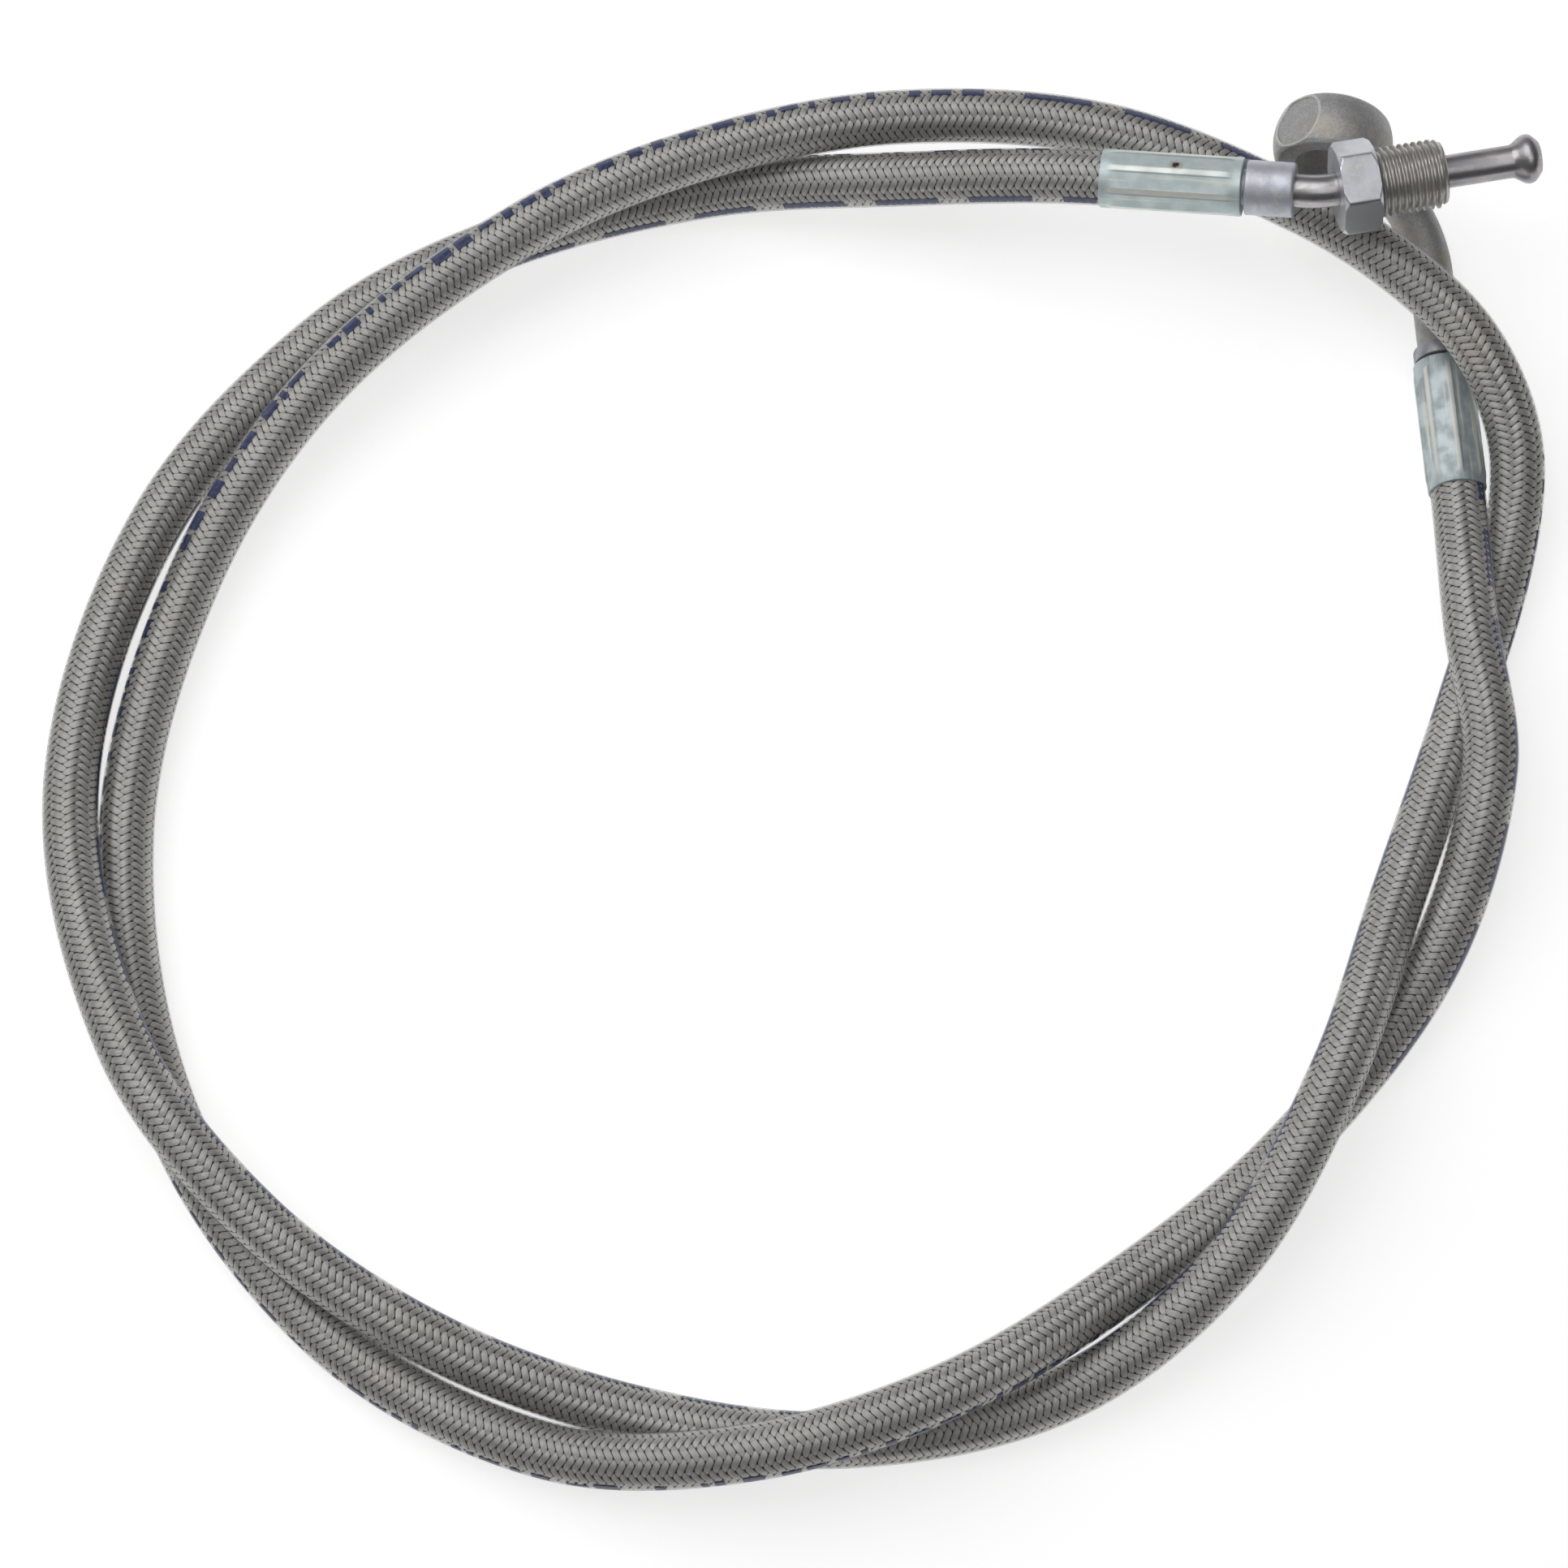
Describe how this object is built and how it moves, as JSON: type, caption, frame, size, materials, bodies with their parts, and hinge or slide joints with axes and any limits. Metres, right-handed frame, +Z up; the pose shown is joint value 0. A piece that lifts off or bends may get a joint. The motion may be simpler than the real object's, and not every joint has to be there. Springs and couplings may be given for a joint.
{
  "type": "hydraulic hose assembly",
  "caption": "Coiled braided hydraulic hose with a clear cover, a swivelling male tube nut on a flared steel tube at one end and a bent-neck banjo eye at the other.",
  "frame": {"origin": "under the middle of the end fittings, on the surface that the hose lies on", "axes": "+Z up from the surface; +X along the tube end, from its hose towards its flare; -Y from the fittings towards the middle of the coil"},
  "size_m": [0.2167, 0.2039, 0.0333],
  "materials": {
    "liner": "smooth translucent white",
    "braid": "woven stainless wire",
    "cover": "clear gloss film",
    "plated_ferrule": "crimped, zinc plated",
    "plated_collar": "satin zinc",
    "steel_tube": "satin",
    "plated_nut": "satin zinc, bluish",
    "forging": "matt blasted forging, plated"
  },
  "bodies": {
    "root": {"hose_liner": "liner", "hose_braid": "braid", "hose_cover": "cover", "ferrule_male": "plated_ferrule", "insert_male": "plated_collar", "flared_tube": "steel_tube", "ferrule_banjo": "plated_ferrule", "insert_banjo": "plated_collar", "banjo_eye": "forging"},
    "nut": {"tube_nut": "plated_nut"}
  },
  "joints": [
    {"name": "nut_spin", "type": "hinge", "parent": "root", "child": "nut", "pos_m": [0, 0.0105, 0.0265], "axis": [0.9867, 0.1616, 0.0157], "continuous": true}
  ]
}
